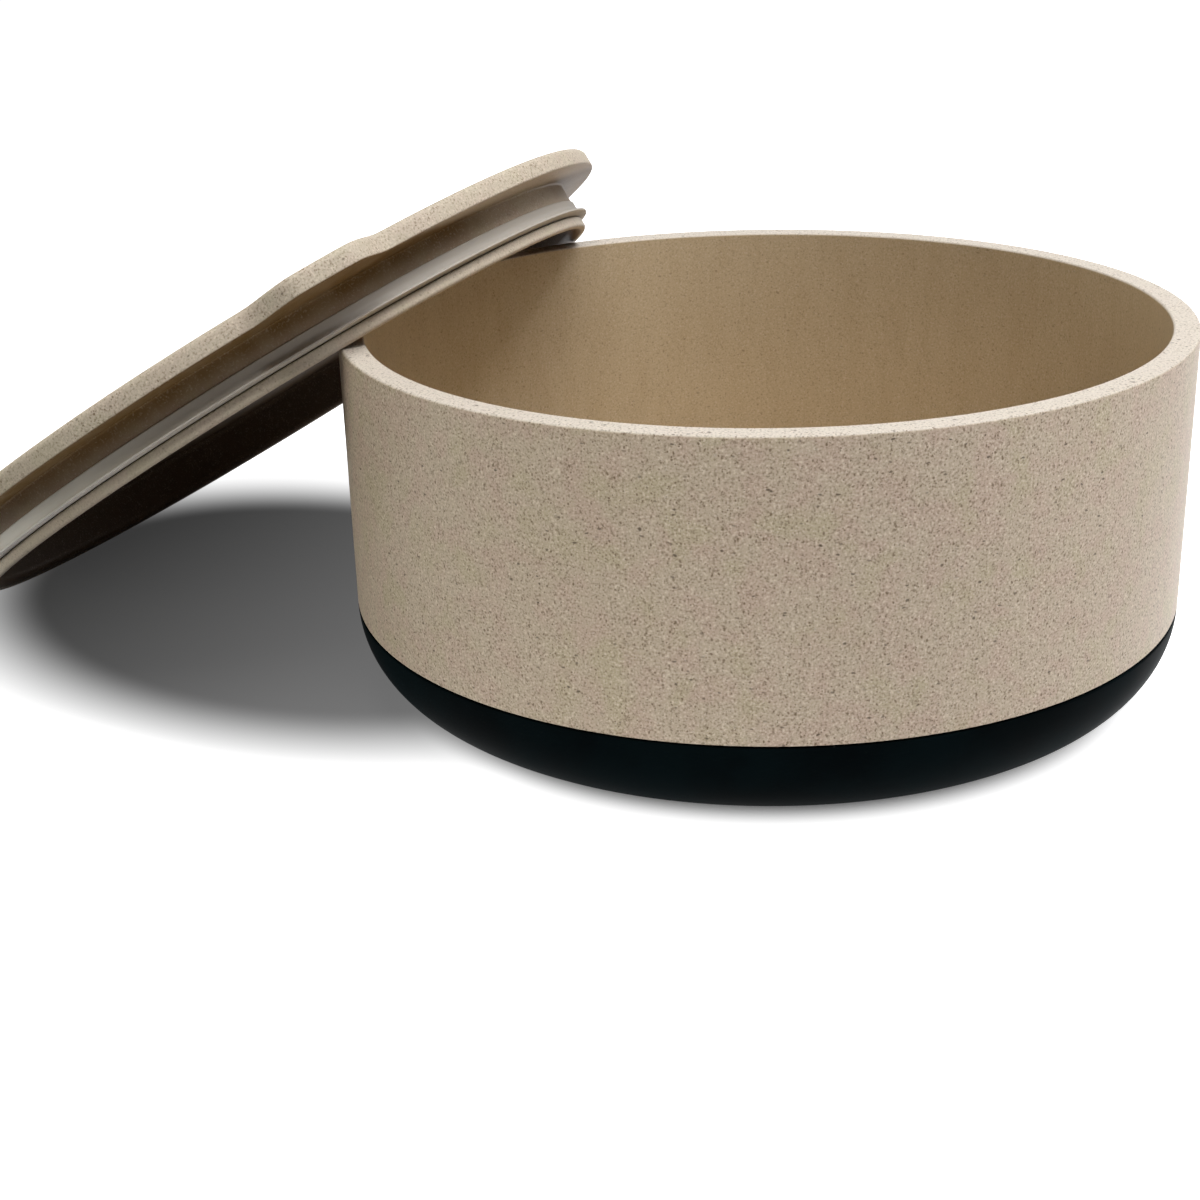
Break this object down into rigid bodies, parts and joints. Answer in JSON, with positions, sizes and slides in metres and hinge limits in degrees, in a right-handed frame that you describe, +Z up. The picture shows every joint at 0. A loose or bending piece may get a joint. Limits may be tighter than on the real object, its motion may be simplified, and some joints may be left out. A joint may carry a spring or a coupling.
{
  "type": "lidded dog bowl",
  "caption": "Straight-walled speckled plastic pet bowl in a soft non-slip base boot, with its sealed plug lid taken off and leaning on the rim.",
  "frame": {"origin": "on the bowl's axis, at the middle of the flat underside of its base boot", "axes": "+Z up along the bowl's axis; the lid leans towards -X; the lid's pull tab is on the -Y side"},
  "size_m": [0.329, 0.2054, 0.1211],
  "materials": {
    "speckled_plastic": "satin, dark fibre flecks",
    "lid_plastic": "satin, dark fibre flecks",
    "boot_rubber": "satin",
    "seal_rubber": "translucent, soft"
  },
  "bodies": {
    "bowl": {"bowl_shell": "speckled_plastic", "base_boot": "boot_rubber"},
    "lid": {"lid": "lid_plastic", "lid_seal": "seal_rubber"}
  },
  "joints": [
    {"name": "lid_lift", "type": "slide", "parent": "bowl", "child": "lid", "axis": [0, 0, 1], "range_m": [0, 0.12]}
  ]
}
